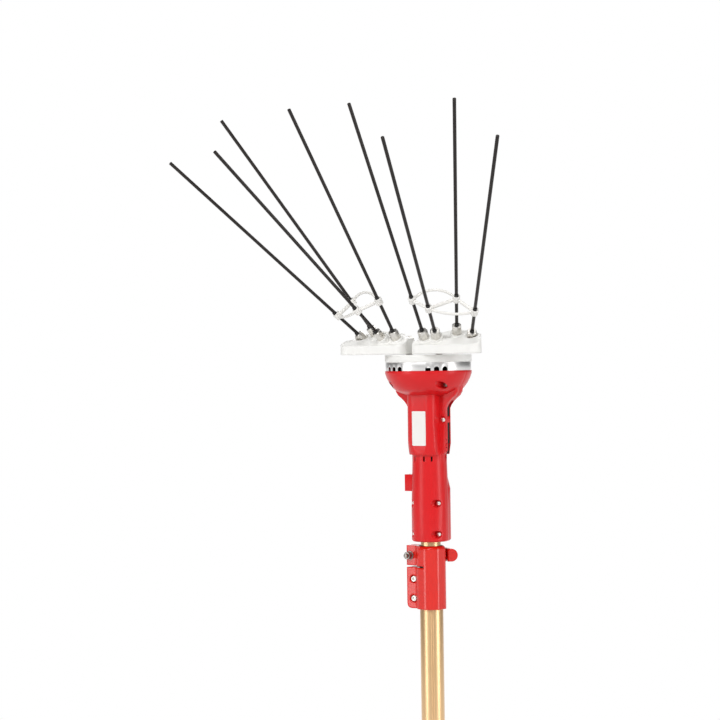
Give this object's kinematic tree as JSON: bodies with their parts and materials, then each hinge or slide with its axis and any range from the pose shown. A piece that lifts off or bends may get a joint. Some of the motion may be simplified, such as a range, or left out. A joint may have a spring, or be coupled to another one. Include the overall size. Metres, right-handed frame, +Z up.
{
  "type": "electric olive harvester",
  "caption": "Telescopic pole with a red motor head that swings two white hands of long carbon rods to shake olives off branches.",
  "frame": {"origin": "centre of the pole's lower end face", "axes": "+Z up the pole to the rods, -Y to the front that the rods lean to, +X to the right hand"},
  "size_m": [0.551, 0.4064, 1.2845],
  "materials": {
    "gold_tube": "gold anodised extruded tube",
    "foam": "black closed-cell foam",
    "black_plastic": "black moulded plastic",
    "red_plastic": "red moulded plastic",
    "white_nylon": "white moulded nylon",
    "plated_steel": "zinc-plated steel",
    "alloy": "turned aluminium",
    "magnet": "ferrite",
    "bronze": "sintered bronze",
    "rubber": "black rubber",
    "carbon": "pultruded carbon fibre rod"
  },
  "bodies": {
    "pole": {"outer_tube": "gold_tube", "grip_sleeve": "foam", "end_cap": "black_plastic", "cable_gland": "plated_steel", "switch_box": "red_plastic", "switch_pin": "plated_steel", "clamp_body": "red_plastic", "clamp_liner": "black_plastic", "clamp_screws": "plated_steel", "clamp_nuts": "plated_steel", "lever_bolt": "plated_steel", "lever_nut": "plated_steel", "lever_pin": "plated_steel"},
    "rocker": {"switch_rocker": "black_plastic"},
    "lever": {"cam_lever": "red_plastic"},
    "head": {"inner_tube": "gold_tube", "tube_foot": "black_plastic", "front_shell": "red_plastic", "rear_shell": "red_plastic", "shell_screws": "plated_steel", "tube_pin": "plated_steel", "motor_can": "plated_steel", "motor_magnets": "magnet", "motor_cap": "black_plastic", "motor_mount": "alloy", "motor_bearings": "plated_steel", "crank_bearings": "plated_steel", "gear_case": "alloy", "base_cover": "white_nylon", "shaft_bushes": "bronze"},
    "rotor": {"armature": "plated_steel", "pinion": "plated_steel"},
    "crank": {"drive_gear": "plated_steel", "crank_shaft": "plated_steel", "crank_roller": "bronze"},
    "right_hand": {"swing_shaft_right": "plated_steel", "yoke_right": "plated_steel", "hand_right": "white_nylon", "hub_nut_right": "plated_steel", "rod_nuts_right": "plated_steel", "rod_rubbers_right": "rubber", "spacer_right": "white_nylon", "rod_right_1": "carbon", "rod_right_2": "carbon", "rod_right_3": "carbon", "rod_right_4": "carbon"},
    "left_hand": {"swing_shaft_left": "plated_steel", "yoke_left": "plated_steel", "hand_left": "white_nylon", "hub_nut_left": "plated_steel", "rod_nuts_left": "plated_steel", "rod_rubbers_left": "rubber", "spacer_left": "white_nylon", "rod_left_1": "carbon", "rod_left_2": "carbon", "rod_left_3": "carbon", "rod_left_4": "carbon"}
  },
  "joints": [
    {"name": "pole_extend", "type": "slide", "parent": "pole", "child": "head", "axis": [0, 0, 1], "range_m": [0, 0.3]},
    {"name": "lever_open", "type": "hinge", "parent": "pole", "child": "lever", "pos_m": [-0.0298, 0.0198, 0.6375], "axis": [0, 0, 1], "range_deg": [0, 100]},
    {"name": "switch_press", "type": "hinge", "parent": "pole", "child": "rocker", "pos_m": [0, -0.027, 0.1813], "axis": [1, 0, 0], "range_deg": [-7, 7]},
    {"name": "crank_turn", "type": "hinge", "parent": "head", "child": "crank", "pos_m": [0, 0.02612, 0.9145], "axis": [0, 0, 1], "continuous": true},
    {"name": "motor_turn", "type": "hinge", "parent": "head", "child": "rotor", "pos_m": [0, 0, 0.9145], "axis": [0, 0, 1], "continuous": true},
    {"name": "right_swing", "type": "hinge", "parent": "head", "child": "right_hand", "pos_m": [0.026, -0.012, 0.9145], "axis": [0, 0, 1], "range_deg": [-6, 6]},
    {"name": "left_swing", "type": "hinge", "parent": "head", "child": "left_hand", "pos_m": [-0.026, -0.012, 0.9145], "axis": [0, 0, 1], "range_deg": [-6, 6]}
  ],
  "couplings": [
    {"joint": "motor_turn", "follows": "crank_turn", "ratio": -3.3333},
    {"joint": "left_swing", "follows": "right_swing", "ratio": -1}
  ]
}
